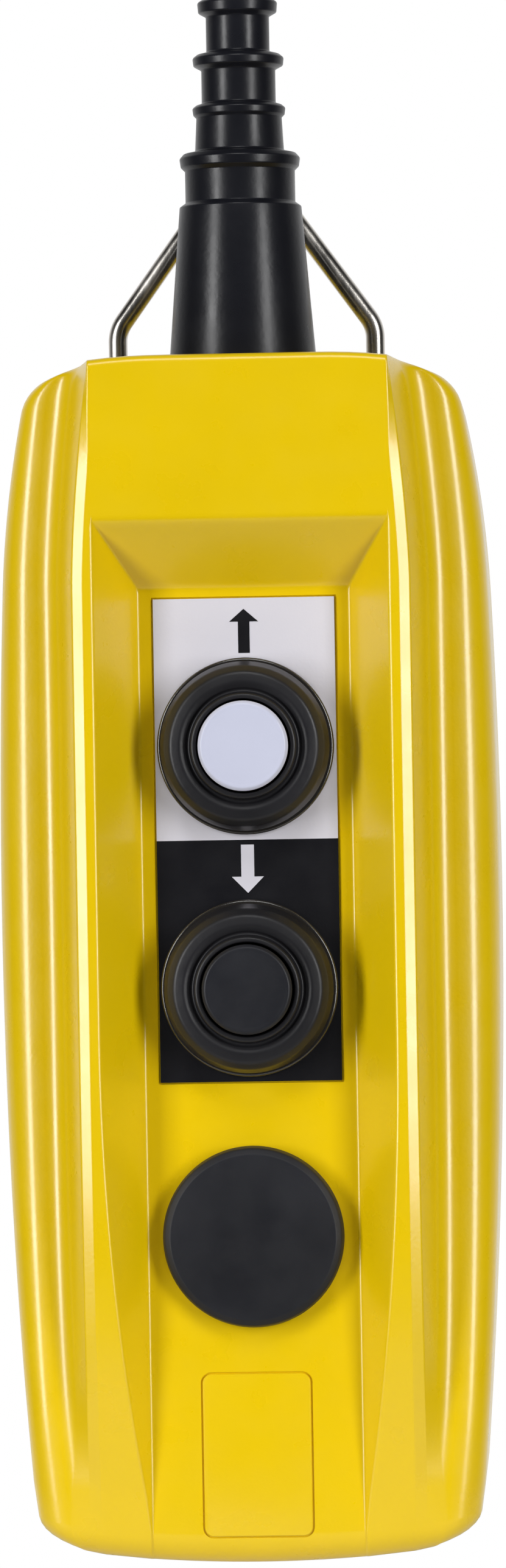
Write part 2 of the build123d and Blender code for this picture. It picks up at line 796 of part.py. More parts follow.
# ---------------------------------------------------------------- contact blocks
block_screw_places = [(0, z + sign * block_screw_z) for z in stations.values() for sign in (1, -1)]
for name, z in stations.items():
    strip_centre = (strip_inner + strip_outer) / 2
    strip_places = [(strip_centre, z), (-strip_centre, z)]
    terminal_places = [(terminal_x, z), (-terminal_x, z)]
    with BuildPart() as block:
        with BuildSketch(front_plane(block_back_y)):
            with Locations((0, z)):
                Rectangle(block_width, block_height)
        extrude(amount=block_depth)
        with BuildSketch(front_plane(chamber_back_y)):
            with Locations((0, z)):
                Rectangle(chamber_width, chamber_height)
        extrude(amount=chamber_back_y - chamber_front_y, mode=Mode.SUBTRACT)
        with BuildSketch(front_plane(chamber_front_y)):
            with Locations((0, z)):
                Circle(contact_radius + running_clearance)
        extrude(amount=block_wall, mode=Mode.SUBTRACT)
        with BuildSketch(front_plane(strip_y + strip_thickness + strip_clearance)):
            with Locations((0, z)):
                Rectangle(block_width, strip_width + 2 * strip_clearance)
        extrude(amount=strip_thickness + 2 * strip_clearance, mode=Mode.SUBTRACT)
        with BuildSketch(front_plane(block_back_y)):
            with Locations((0, z + block_screw_z), (0, z - block_screw_z)):
                Circle(small_thread + thread_fit)
        extrude(amount=small_screw_length, mode=Mode.SUBTRACT)
    save(block, f"contact_{name}_block")

    with BuildPart() as contact_plunger:
        with BuildSketch(front_plane(bridge_y)):
            with Locations((0, z)):
                Circle(contact_radius)
        extrude(amount=contact_length)
        with BuildSketch(front_plane(bridge_y + spigot_length)):
            with Locations((0, z)):
                Circle(spigot_radius)
        extrude(amount=spigot_length)
    save(contact_plunger, f"contact_{name}_plunger")

    with BuildPart() as bridge:
        with BuildSketch(front_plane(bridge_y + bridge_thickness)):
            with Locations((0, z)):
                Rectangle(bridge_length, bridge_width)
                Circle(spigot_radius + thread_fit, mode=Mode.SUBTRACT)
        extrude(amount=bridge_thickness)
    save(bridge, f"contact_{name}_bridge")

    save(
        coil(
            0, z, bridge_y + bridge_thickness, chamber_back_y,
            contact_coil_radius, contact_wire, contact_coils,
        ),
        f"contact_{name}_spring",
    )

    with BuildPart() as strips:
        with BuildSketch(front_plane(strip_y + strip_thickness)):
            with Locations(*strip_places):
                Rectangle(strip_outer - strip_inner, strip_width)
            with Locations(*terminal_places):
                Circle(terminal_thread + thread_fit, mode=Mode.SUBTRACT)
        extrude(amount=strip_thickness)
    save(strips, f"contact_{name}_terminals")
    save(
        screws(
            terminal_places, strip_y, terminal_head, terminal_head_thickness,
            terminal_thread, terminal_length, 1,
        ),
        f"contact_{name}_terminal_screws",
    )

# ---------------------------------------------------------------- contact carrier
with BuildPart() as contact_carrier:
    with BuildSketch(front_plane(carrier_back_y)):
        with Locations((0, (carrier_top + carrier_bottom) / 2)):
            RectangleRounded(carrier_width, carrier_top - carrier_bottom, 3.0)
        with Locations(*post_places, *block_screw_places):
            Circle(small_thread + screw_hole_clearance, mode=Mode.SUBTRACT)
    extrude(amount=carrier_thickness)
save(contact_carrier, "contact_carrier")
save(
    screws(
        post_places, block_back_y, small_head, small_head_thickness,
        small_thread, small_screw_length, 1,
    ),
    "carrier_screws",
)
save(
    screws(
        block_screw_places, carrier_back_y, small_head, small_head_thickness,
        small_thread, small_screw_length, -1,
    ),
    "contact_block_screws",
)
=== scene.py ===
"""The looks of a pendant control station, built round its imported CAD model."""
import json
import math

import bmesh
import bpy
from mathutils import Matrix, Vector


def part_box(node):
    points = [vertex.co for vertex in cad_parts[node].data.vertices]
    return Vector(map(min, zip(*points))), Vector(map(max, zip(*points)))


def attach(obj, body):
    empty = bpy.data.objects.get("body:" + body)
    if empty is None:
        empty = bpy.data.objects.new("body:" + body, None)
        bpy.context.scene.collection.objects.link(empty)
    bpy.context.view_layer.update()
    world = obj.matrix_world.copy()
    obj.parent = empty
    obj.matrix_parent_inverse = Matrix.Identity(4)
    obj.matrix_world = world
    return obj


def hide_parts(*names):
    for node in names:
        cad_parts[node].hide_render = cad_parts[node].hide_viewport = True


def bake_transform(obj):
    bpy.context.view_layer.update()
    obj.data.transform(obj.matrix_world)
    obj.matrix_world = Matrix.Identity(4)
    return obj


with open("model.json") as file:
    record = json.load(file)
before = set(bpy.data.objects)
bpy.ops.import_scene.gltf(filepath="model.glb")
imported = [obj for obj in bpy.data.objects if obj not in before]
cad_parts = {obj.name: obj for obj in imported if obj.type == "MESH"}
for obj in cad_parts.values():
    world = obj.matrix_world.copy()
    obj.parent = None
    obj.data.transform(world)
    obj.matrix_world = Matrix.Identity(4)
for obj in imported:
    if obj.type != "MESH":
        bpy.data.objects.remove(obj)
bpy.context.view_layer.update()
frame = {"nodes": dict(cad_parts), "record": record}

MM = 0.001

# ---------------------------------------------------------------- places read from the frame, in mm
shell_low, shell_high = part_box("front_shell")
TOP = shell_high.z / MM
BOTTOM = shell_low.z / MM
RIDGE_Y = shell_low.y / MM
PARTING_Y = shell_high.y / MM
HALF = shell_high.x / MM
BACK_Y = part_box("rear_shell")[1].y / MM
BODY = TOP - BOTTOM
LEGEND_HEIGHT = 0.4         # the legend's face above the recess floor
FLOOR_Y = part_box("legend_up")[0].y / MM + LEGEND_HEIGHT
SLEEVE_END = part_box("cable_sleeve")[0].z / MM


def middle_z(node):
    low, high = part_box(node)
    return (low.z + high.z) / 2 / MM


STATIONS = {name: middle_z(f"button_{name}_cap") for name in ("up", "down")}
PLUG_Z = middle_z("blanking_plug")
LEGENDS = {name: middle_z(f"legend_{name}") for name in STATIONS}

# ---------------------------------------------------------------- the enclosure's form, in mm
# Drops are measured down from the top of the body, heights out from the recess floor.
WALL = 3.0
WIDEST_DROP = 90.0
SIDE_RADIUS = 1200.0
SHOULDER_DROP = 38.0
SHOULDER_RADIUS = 206.0
SIDE_ROUND = 8.5
TOP_ROUND = 1.3
BOTTOM_ROUND = 5.0
FRAME_HEIGHT = FLOOR_Y - RIDGE_Y
LIP_DROP = 27.1
FLOOR_DROP = 38.2
FLOOR_HALF = 17.6
WALL_RUN = 0.68             # how far a recess wall leans out for each mm of height
FRAME_HALF = 27.9
FRAME_PINCH = 3.2
FLANK_RUN = 3.2
EDGE_ROUND = 0.7
EDGE_SLOPE_RUN = 1.9
EDGE_SLOPE_FALL = 0.8
COVE_ROUND = 4.5
FALL_DROP = 112.0
FALL_RADIUS = 345.0
SILL = 0.4                  # what is left of the recess wall at the bottom end
CROWN_FLAT = 12.0
CROWN_REACH = 24.0
CROWN_DEPTH = 3.1
CROWN_BLEND = 26.0
CORNER_ROUND = 5.5
CORNER_START = 25.0         # where the rounding of the outline's corners begins, out from the middle
BOTTOM_RADIUS = 227.0
BOTTOM_BLEND_RISE = 45.0     # above the bottom: where the rows begin to bend to its curve
BOTTOM_BLEND = 40.0
LIP_SOFTENING = 0.9

# How finely the meshes are divided
CORNER_STEPS = 6
MIDDLE_COLUMNS = 8
END_STEPS = 8
LATHE_STEPS = 5
LATHE_SPOKES = 96
WIRE_STEPS = 12
WIRE_SPOKES = 24
WIRE_END_SHARE = 0.8        # the wire's end face, as a share of its radius
WIRE_END_RUN = 0.3
COIL_STEPS = 28
COIL_SPOKES = 10
FLAT_SHARP = 35.0           # degrees past which an edge is shaded sharp
ROUND_SHARP = 50.0

# Bare moulded panel at the lower end of the recess
PANEL_DROP = 181.8
PANEL_WIDTH = 17.9
PANEL_HEIGHT = 26.9
PANEL_CORNER = 1.5
PANEL_GAP = 0.3

# Openings in the enclosure
HOLE_RADIUS = 11.1
NECK_OPENING = 10.5
LEGEND_GAP = 0.3
BAIL_WIRE = 3.2
BAIL_LEG = 21.8
BAIL_SLOT = 3.8
BAIL_SLOT_DEPTH = 6.2
BAIL_SLOT_DROP = 8.9
SCREWS = [(30.5, 24.0), (33.8, 100.0), (30.5, 178.0)]
COUNTERBORE = 3.8
COUNTERBORE_DEPTH = 9.0
PAST = 2.0                  # how far a cutter runs past a face
POCKET_DEPTH = 0.6
LEGEND_WIDTH = 30.0
LEGEND_HALF_HEIGHT = 20.0
CAVITY_CORNER = 3.0         # the cavity's corners at the bottom are cut off by this much
CAVITY_SHOULDER = 2.0       # and those at the top by this much


def clamp(value, low, high):
    return max(low, min(high, value))


def smooth(value):
    value = clamp(value, 0.0, 1.0)
    return value * value * (3 - 2 * value)


def side_half(drop):
    """Half-width of the bowed outline at a drop below the top."""
    half = HALF - (drop - WIDEST_DROP) ** 2 / (2 * SIDE_RADIUS)
    if drop < SHOULDER_DROP:
        half -= (SHOULDER_DROP - drop) ** 2 / (2 * SHOULDER_RADIUS)
    return half


def corner_inset(drop):
    """How far the outline's rounded corners lie inside its sides at a drop."""
    into_corner = max(CORNER_ROUND - min(drop, BODY - drop), 0.0)
    return CORNER_ROUND - math.sqrt(CORNER_ROUND ** 2 - into_corner ** 2)


def crown_drop(x):
    """How far the top outline lies below its middle."""
    return CROWN_DEPTH * (max(abs(x) - CROWN_FLAT, 0.0) / CROWN_REACH) ** 2.4


def bottom_rise(x):
    return x * x / (2 * BOTTOM_RADIUS)


def frame_height(drop):
    """Height of the raised frame: level, then falling to the bottom end."""
    fallen = max(drop - FALL_DROP, 0.0)
    return max(FRAME_HEIGHT - fallen * fallen / (2 * FALL_RADIUS), 0.0)


def recess_height(drop):
    """Height of the recess floor, level with the frame above the recess's upper slope."""
    return FRAME_HEIGHT * clamp((FLOOR_DROP - drop) / (FLOOR_DROP - LIP_DROP), 0.0, 1.0)


def softened(value_at, drop, reach):
    """A function of the drop, with its kinks rounded over a short reach."""
    weights = (1, 2, 3, 2, 1)
    samples = [value_at(drop + reach * step / 2) for step in (-2, -1, 0, 1, 2)]
    return sum(value * weight for value, weight in zip(samples, weights)) / sum(weights)


def frame_half(drop):
    return FRAME_HALF - FRAME_PINCH * clamp(1 - drop / SHOULDER_DROP, 0.0, 1.0) ** 1.5


def corner_turns(corners):
    """For each inner corner: its place, directions back and ahead, its turn, and its arc's tangent length."""
    turns = []
    for before, corner, after in zip(corners, corners[1:], corners[2:]):
        here = Vector(corner[:2])
        back, ahead = Vector(before[:2]) - here, Vector(after[:2]) - here
        if min(back.length, ahead.length) < 1e-4:
            turns.append([here, None, None, 0.0, 0.0])
            continue
        turn = math.pi - back.angle(ahead)
        turns.append([here, back.normalized(), ahead.normalized(), turn, corner[2] * math.tan(turn / 2)])
    wanted = [0.0] + [turn[4] for turn in turns] + [0.0]
    lengths = [(Vector(b[:2]) - Vector(a[:2])).length for a, b in zip(corners, corners[1:])]
    fits = [min(1.0, 0.98 * run / max(a + b, 1e-6)) for run, a, b in zip(lengths, wanted, wanted[1:])]
    for turn, fit_before, fit_after in zip(turns, fits, fits[1:]):
        turn[4] *= min(fit_before, fit_after)
    return turns


def rounded_path(corners, steps):
    """Points along corners (x, y, radius), each inner corner an arc of the same number of steps."""
    points = [Vector(corners[0][:2])]
    for here, back, ahead, turn, tangent in corner_turns(corners):
        if turn < 0.01 or tangent < 1e-4:
            points += [here.copy() for _ in range(steps + 1)]
            continue
        start = here + back * tangent
        end = here + ahead * tangent
        radius = tangent / math.tan(turn / 2)
        centre = here + (back + ahead).normalized() * math.hypot(radius, tangent)
        spoke = start - centre
        sign = 1 if spoke.cross(end - centre) > 0 else -1
        for step in range(steps + 1):
            angle = sign * turn * step / steps
            points.append(centre + Vector((
                spoke.x * math.cos(angle) - spoke.y * math.sin(angle),
                spoke.x * math.sin(angle) + spoke.y * math.cos(angle),
            )))
    points.append(Vector(corners[-1][:2]))
    return points


def front_section(drop):
    """Corners of half the front shell's section, from the middle out: (x, height, radius)."""
    half = side_half(drop)
    floor = softened(recess_height, drop, LIP_SOFTENING)
    top = frame_height(drop)
    inner = max(top, SILL) if drop > FALL_DROP else top
    edge = frame_half(drop)
    cove = edge + FLANK_RUN
    edge_fall = min(EDGE_SLOPE_FALL, 0.4 * top)
    edge_run = min(EDGE_SLOPE_RUN, edge - FLOOR_HALF - WALL_RUN * inner - 0.3)
    cove_reach = COVE_ROUND * math.tan(math.atan2(top - edge_fall, FLANK_RUN) / 2)
    return [
        (0.0, min(floor, inner), 0.0),
        (FLOOR_HALF + WALL_RUN * floor, min(floor, inner), 0.9),
        (FLOOR_HALF + WALL_RUN * inner, inner, 1.0),
        (edge - edge_run, top, EDGE_ROUND),
        (edge, top - edge_fall, EDGE_ROUND),
        (cove, 0.0, COVE_ROUND),
        (half, 0.0, min(SIDE_ROUND, 0.97 * (half - cove - cove_reach))),
        (half, FLOOR_Y - PARTING_Y, 0.0),
    ]


def rear_section(drop):
    half = side_half(drop)
    return [(0.0, 0.0, 0.0), (half, 0.0, SIDE_ROUND), (half, PARTING_Y - BACK_Y, 0.0)]


def row_drops():
    """Drops of the mesh's rows between its two rounded ends, closer together at the lip and floor."""
    drops = [1.8, 2.4, 3.1, 4.0, 5.2, 6.6, 8.5, 12.0, 15.5, 19.0, 22.5, 31.0, 34.5]
    for edge in (LIP_DROP, FLOOR_DROP):
        drops += [edge + step for step in (-1.6, -1.0, -0.6, -0.2, 0.2, 0.6, 1.0, 1.6)]
    row_pitch = 3.0
    count = int((BODY - BOTTOM_ROUND - FLOOR_DROP - 4.0) / row_pitch)
    drops += [FLOOR_DROP + 4.0 + row_pitch * index for index in range(count)]
    return sorted(drops)


def finish_mesh(name, builder, sharp=FLAT_SHARP):
    mesh = bpy.data.meshes.new(name)
    builder.to_mesh(mesh)
    builder.free()
    piece = bpy.data.objects.new(name, mesh)
    bpy.context.scene.collection.objects.link(piece)
    shade(piece, sharp)
    return piece


def shade(piece, sharp=FLAT_SHARP):
    piece.data.polygons.foreach_set("use_smooth", [True] * len(piece.data.polygons))
    piece.data.set_sharp_from_angle(angle=math.radians(sharp))
    piece.data.update()


def shell_row(section, drop, inset, near_bottom, reference_y, outward):
    """One row of a shell's outside, right half: points in mm from the middle out."""
    corners = section(clamp(drop, 0.0, BODY))
    half, side_radius = corners[-1][0], corners[-2][2]
    row = []
    path = rounded_path(corners, CORNER_STEPS)
    across = [path[0].lerp(path[1], step / MIDDLE_COLUMNS) for step in range(MIDDLE_COLUMNS)]
    for point in across + path[1:]:
        lean = clamp((point.x - half + side_radius) / side_radius, 0.0, 1.0)
        angle = math.asin(lean)
        x = point.x - inset * math.sin(angle)
        height = point.y - inset * math.cos(angle)
        top_share = 1 - smooth((drop - TOP_ROUND) / CROWN_BLEND)
        bottom_share = 1.0 if near_bottom else smooth((drop - BODY + BOTTOM_BLEND_RISE) / BOTTOM_BLEND)
        z = TOP - drop - crown_drop(x) * top_share + bottom_rise(x) * bottom_share
        outer_share = clamp((point.x - CORNER_START) / (half - CORNER_START), 0.0, 1.0)
        if not near_bottom:
            x += (side_half(clamp(TOP - z, 0.0, BODY)) - half) * smooth(outer_share)
        x -= corner_inset(drop) * outer_share
        row.append((x, reference_y + outward * height, z))
    return row


def shell_form(name, section, reference_y, outward):
    """A closed form: rows of one section down the body, rounded ends, and a flat parting face."""
    rounding = [step / END_STEPS * math.pi / 2 for step in range(END_STEPS + 1)]
    rows = []
    for angle in reversed(rounding):
        rows.append((TOP_ROUND * (1 - math.sin(angle)), TOP_ROUND * (1 - math.cos(angle)), False))
    rows += [(drop, 0.0, False) for drop in row_drops()]
    for angle in rounding:
        rise = BOTTOM_ROUND * (1 - math.sin(angle))
        rows.append((BODY - rise, BOTTOM_ROUND * (1 - math.cos(angle)), True))
    builder = bmesh.new()
    grid = []
    for drop, inset, near_bottom in rows:
        right = shell_row(section, drop, inset, near_bottom, reference_y, outward)
        line = [(-x, y, z) for x, y, z in reversed(right[1:])] + right
        grid.append([builder.verts.new(Vector(point) * MM) for point in line])
    for upper, lower in zip(grid, grid[1:]):
        for pair in zip(upper, upper[1:], lower[1:], lower):
            builder.faces.new(pair)
    rims = [end_cap(builder, row) for row in (grid[0], grid[-1])]
    right_side = [row[-1] for row in grid[1:-1]]
    left_side = [row[0] for row in reversed(grid[1:-1])]
    builder.faces.new(rims[0] + right_side + list(reversed(rims[1])) + left_side)
    bmesh.ops.remove_doubles(builder, verts=builder.verts, dist=1e-7)
    bmesh.ops.dissolve_degenerate(builder, edges=builder.edges, dist=1e-7)
    bmesh.ops.recalc_face_normals(builder, faces=builder.faces)
    return finish_mesh(name, builder)


def end_cap(builder, row):
    """Closes one end with strips straight back to the parting plane; returns the rim there."""
    edge_x = row[-1].co.x - 1e-7
    inside = [index for index, vert in enumerate(row) if abs(vert.co.x) < edge_x]
    first, last = inside[0], inside[-1]
    back = {
        index: builder.verts.new((row[index].co.x, PARTING_Y * MM, row[index].co.z))
        for index in inside
    }
    for index in inside[:-1]:
        builder.faces.new((row[index], row[index + 1], back[index + 1], back[index]))
    builder.faces.new(row[: first + 1] + [back[first]])
    builder.faces.new([back[last]] + row[last:])
    return [row[0]] + [back[index] for index in inside] + [row[-1]]


def outline_points(inset, count=40):
    """Points round the enclosure's outline seen from the front, moved inwards by inset."""
    right = []
    for index in range(count + 1):
        drop = inset + (BODY - 2 * inset) * index / count
        right.append((side_half(drop) - inset, TOP - drop))
    x_top, z_top = right[0]
    right[0] = (x_top - CAVITY_SHOULDER, z_top - crown_drop(x_top))
    right = [right[0]] + [point for point in right[1:] if point[1] < right[0][1] - CAVITY_SHOULDER]
    x_bottom, z_bottom = right[-1]
    right[-1] = (x_bottom - CAVITY_CORNER, z_bottom + bottom_rise(x_bottom))
    right = [point for point in right[:-1] if point[1] > right[-1][1] + CAVITY_CORNER] + [right[-1]]
    crown = [(x, TOP - inset - crown_drop(x)) for x in (0.0, 14.0, 20.0, 25.0)]
    foot = [(x, BOTTOM + inset + bottom_rise(x)) for x in (24.0, 16.0, 8.0, 0.0)]
    half = crown + right + foot
    return half + [(-x, z) for x, z in reversed(half[1:-1])]


def prism(builder, outline, front_y, rear_y):
    """A closed prism along Y from an outline of (x, z), all in mm."""
    front = [builder.verts.new((x * MM, front_y * MM, z * MM)) for x, z in outline]
    rear = [builder.verts.new((x * MM, rear_y * MM, z * MM)) for x, z in outline]
    builder.faces.new(front)
    builder.faces.new(list(reversed(rear)))
    for index in range(len(outline)):
        following = (index + 1) % len(outline)
        builder.faces.new((front[following], front[index], rear[index], rear[following]))


def circle(x, z, radius, count=72):
    turn = 2 * math.pi / count
    return [(x + radius * math.cos(turn * i), z + radius * math.sin(turn * i)) for i in range(count)]


def rectangle(x, z, width, height, corner=0.0):
    """A rectangle's outline round its centre, with rounded corners."""
    a, b = width / 2, height / 2
    if not corner:
        return [(x - a, z - b), (x + a, z - b), (x + a, z + b), (x - a, z + b)]
    loop = [(a, 0.0, 0.0), (a, b, corner), (-a, b, corner), (-a, -b, corner), (a, -b, corner), (a, 0.0, 0.0)]
    return [(x + point.x, z + point.y) for point in rounded_path(loop, 6)[:-1]]


def cut(piece, make_cutters):
    """Takes a set of closed forms, which don't cross each other, out of a piece."""
    builder = bmesh.new()
    make_cutters(builder)
    bmesh.ops.recalc_face_normals(builder, faces=builder.faces)
    cutter = finish_mesh(piece.name + "_cutter", builder)
    boolean = piece.modifiers.new("openings", "BOOLEAN")
    boolean.operation = "DIFFERENCE"
    boolean.solver = "EXACT"
    boolean.object = cutter
    graph = bpy.context.evaluated_depsgraph_get()
    result = bpy.data.meshes.new_from_object(piece.evaluated_get(graph))
    piece.modifiers.remove(boolean)
    piece.data = result
    bpy.data.objects.remove(cutter)
    shade(piece)


def weigh_normals(piece):
    """Keeps the shading of broad flat faces flat beside their rounded edges."""
    weighted = piece.modifiers.new("weighted_normals", "WEIGHTED_NORMAL")
    weighted.keep_sharp = True
    weighted.weight = 80


def lathe(name, corners, centre, along):
    """A turned piece: a closed profile of corners (radius, height along the axis, rounding)."""
    points = rounded_path(corners + [corners[0]], LATHE_STEPS)[:-1]
    kept = [points[0]]
    for point in points[1:]:
        if (point - kept[-1]).length > 1e-4:
            kept.append(point)
    axis = Vector(along)
    side = axis.orthogonal().normalized()
    other = axis.cross(side)
    builder = bmesh.new()
    rings = []
    for radius, height in kept:
        base = Vector(centre) + axis * height
        spokes = [2 * math.pi * index / LATHE_SPOKES for index in range(LATHE_SPOKES if radius > 1e-4 else 1)]
        rings.append([
            builder.verts.new((base + (side * math.cos(a) + other * math.sin(a)) * radius) * MM)
            for a in spokes
        ])
    for lower, upper in zip(rings, rings[1:] + rings[:1]):
        if len(lower) == 1 and len(upper) == 1:
            continue
        for index in range(LATHE_SPOKES):
            following = (index + 1) % LATHE_SPOKES
            corners_of_face = [
                lower[index % len(lower)], lower[following % len(lower)],
                upper[following % len(upper)], upper[index % len(upper)],
            ]
            builder.faces.new(list(dict.fromkeys(corners_of_face)))
    bmesh.ops.recalc_face_normals(builder, faces=builder.faces)
    return finish_mesh(name, builder, ROUND_SHARP)


# ---------------------------------------------------------------- materials
def new_material(name):
    material = bpy.data.materials.new(name)
    material.use_nodes = True
    return material, material.node_tree, material.node_tree.nodes["Principled BSDF"]


def noise(tree, scale, detail=3.0, stretch=(1, 1, 1)):
    """A noise texture in the object's own coordinates; scale is in features per metre."""
    place = tree.nodes.new("ShaderNodeTexCoord")
    mapping = tree.nodes.new("ShaderNodeMapping")
    mapping.inputs["Scale"].default_value = stretch
    texture = tree.nodes.new("ShaderNodeTexNoise")
    texture.inputs["Scale"].default_value = scale
    texture.inputs["Detail"].default_value = detail
    tree.links.new(place.outputs["Object"], mapping.inputs["Vector"])
    tree.links.new(mapping.outputs["Vector"], texture.inputs["Vector"])
    return texture.outputs["Fac"]


def ramp(tree, value, low, high, start=0.3, end=0.7):
    """Maps a texture to a range of grey or of colours."""
    node = tree.nodes.new("ShaderNodeValToRGB")
    node.color_ramp.elements[0].position = start
    node.color_ramp.elements[1].position = end
    node.color_ramp.elements[0].color = (*low, 1.0) if isinstance(low, tuple) else (low, low, low, 1.0)
    node.color_ramp.elements[1].color = (*high, 1.0) if isinstance(high, tuple) else (high, high, high, 1.0)
    tree.links.new(value, node.inputs["Fac"])
    return node.outputs["Color"]


def bump(tree, shader, heights):
    """Stacks bumps of (texture, depth in metres, strength) onto a shader."""
    previous = None
    for value, depth, strength in heights:
        node = tree.nodes.new("ShaderNodeBump")
        node.inputs["Distance"].default_value = depth
        node.inputs["Strength"].default_value = strength
        tree.links.new(value, node.inputs["Height"])
        if previous is not None:
            tree.links.new(previous, node.inputs["Normal"])
        previous = node.outputs["Normal"]
    tree.links.new(previous, shader.inputs["Normal"])


def tinted(colour, amount):
    return tuple(clamp(channel * amount, 0.0, 1.0) for channel in colour)


def moulded(name, colour, roughness, grain=1600.0, mottle=0.05, coat=0.0, specular=0.5):
    """Moulded plastic or rubber: faint colour drift, uneven gloss, and a fine grain."""
    material, tree, shader = new_material(name)
    drift = noise(tree, 45.0, 4.0)
    base = ramp(tree, drift, tinted(colour, 1 - mottle), tinted(colour, 1 + mottle))
    tree.links.new(base, shader.inputs["Base Color"])
    patches = noise(tree, 140.0, 5.0)
    tree.links.new(ramp(tree, patches, roughness * 0.85, roughness * 1.15), shader.inputs["Roughness"])
    bump(tree, shader, [
        (noise(tree, 70.0, 2.0), 0.0002, 0.15),
        (noise(tree, grain, 2.0), 0.00004, 0.5),
    ])
    shader.inputs["Coat Weight"].default_value = coat
    shader.inputs["Coat Roughness"].default_value = 0.18
    shader.inputs["Specular IOR Level"].default_value = specular
    return material


def metal(name, colour, roughness, stretch=(1, 1, 1)):
    """Bright metal with fine drawn or plated streaks."""
    material, tree, shader = new_material(name)
    shader.inputs["Metallic"].default_value = 1.0
    streaks = noise(tree, 500.0, 4.0, stretch)
    base = ramp(tree, streaks, tinted(colour, 0.82), tinted(colour, 1.1))
    tree.links.new(base, shader.inputs["Base Color"])
    gloss = ramp(tree, streaks, roughness * 0.7, roughness * 1.3)
    tree.links.new(gloss, shader.inputs["Roughness"])
    bump(tree, shader, [(noise(tree, 2200.0, 2.0, stretch), 0.00003, 0.3)])
    return material


MATERIALS = {
    "yellow_plastic": moulded("yellow_plastic", (0.84, 0.575, 0.0), 0.3, mottle=0.025, coat=0.5),
    "black_rubber": moulded(
        "black_rubber", (0.009, 0.0095, 0.013), 0.3, grain=900.0, mottle=0.2, specular=0.3
    ),
    "seal_rubber": moulded("seal_rubber", (0.03, 0.03, 0.03), 0.7),
    "bright_steel": metal("bright_steel", (0.86, 0.82, 0.76), 0.27, (1, 1, 0.1)),
    "zinc_steel": metal("zinc_steel", (0.62, 0.64, 0.66), 0.35),
    "white_plastic": moulded("white_plastic", (0.68, 0.67, 0.745), 0.4, mottle=0.03),
    "black_plastic": moulded(
        "black_plastic", (0.006, 0.0061, 0.0085), 0.45, grain=2200.0, mottle=0.25, specular=0.22
    ),
    "grey_plastic": moulded("grey_plastic", (0.12, 0.125, 0.13), 0.5),
    "brass": metal("brass", (0.72, 0.52, 0.2), 0.3),
}
CAP_WHITE = moulded("cap_white", (0.60, 0.62, 0.76), 0.35, mottle=0.04)
BOOT_RUBBER = moulded(
    "boot_rubber", (0.014, 0.0137, 0.016), 0.4, grain=1100.0, mottle=0.3, specular=0.35
)
BEZEL_BLACK = moulded("bezel_black", (0.02, 0.018, 0.016), 0.2, mottle=0.1, specular=0.9)
PLUG_BLACK = moulded(
    "plug_black", (0.0118, 0.0125, 0.017), 0.5, grain=1900.0, mottle=0.25, specular=0.35
)


def coated(piece, slot, body, material=None):
    """Gives a new piece a material, the slot's own unless another is given, and lets it ride on its body."""
    piece.data.materials.clear()
    piece.data.materials.append(material or MATERIALS[slot])
    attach(piece, body)
    return piece


SLOTS = {subpart["node"]: subpart["material_slot"] for subpart in frame["record"]["subparts"]}
for node, slot in SLOTS.items():
    for material_slot in frame["nodes"][node].material_slots:
        material_slot.material = MATERIALS[slot]


# ---------------------------------------------------------------- enclosure
def cavity(front_y, rear_y):
    """The room inside a shell, between two depths."""
    def make(builder):
        prism(builder, outline_points(WALL), front_y, rear_y)

    return make


def bail_slots(builder):
    for side in (-1, 1):
        low_z = TOP - BAIL_SLOT_DROP
        slot = rectangle(side * BAIL_LEG, (TOP + PAST + low_z) / 2, BAIL_SLOT, TOP + PAST - low_z)
        start_y = PARTING_Y - BAIL_SLOT / 2
        prism(builder, slot, start_y, start_y + BAIL_SLOT_DEPTH)


def front_openings(builder):
    for z in [*STATIONS.values(), PLUG_Z]:
        prism(builder, circle(0, z, HOLE_RADIUS), FLOOR_Y - PAST, FLOOR_Y + WALL + PAST)
    bail_slots(builder)
    neck = circle(0, 0, NECK_OPENING)
    ring = [builder.verts.new((x * MM, y * MM, (TOP + PAST) * MM)) for x, y in neck]
    below = [builder.verts.new((x * MM, y * MM, (TOP - WALL - PAST) * MM)) for x, y in neck]
    builder.faces.new(ring)
    builder.faces.new(list(reversed(below)))
    for index in range(len(ring)):
        following = (index + 1) % len(ring)
        builder.faces.new((ring[following], ring[index], below[index], below[following]))


def legend_pockets(builder):
    high = LEGENDS["up"] + LEGEND_HALF_HEIGHT + LEGEND_GAP
    low = LEGENDS["down"] - LEGEND_HALF_HEIGHT - LEGEND_GAP
    width = LEGEND_WIDTH + 2 * LEGEND_GAP
    pocket = rectangle(0, (high + low) / 2, width, high - low)
    prism(builder, pocket, FLOOR_Y - PAST, FLOOR_Y + POCKET_DEPTH)


def panel_outline(inset):
    return rectangle(
        0, TOP - PANEL_DROP, PANEL_WIDTH - 2 * inset, PANEL_HEIGHT - 2 * inset, PANEL_CORNER - inset
    )


def panel_groove(builder):
    prism(builder, panel_outline(-PANEL_GAP), FLOOR_Y - 1, FLOOR_Y + PANEL_GAP)


def rear_openings(builder):
    bail_slots(builder)
    for x, drop in SCREWS:
        for side in (-1, 1):
            counterbore = circle(side * x, TOP - drop, COUNTERBORE, 40)
            prism(builder, counterbore, BACK_Y - COUNTERBORE_DEPTH, BACK_Y + PAST)


front_shell = shell_form("front_shell_moulding", front_section, FLOOR_Y, -1)
cut(front_shell, cavity(FLOOR_Y + WALL, PARTING_Y + 1))
cut(front_shell, front_openings)
cut(front_shell, legend_pockets)
cut(front_shell, panel_groove)
weigh_normals(front_shell)
coated(front_shell, "yellow_plastic", "housing")
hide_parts("front_shell")

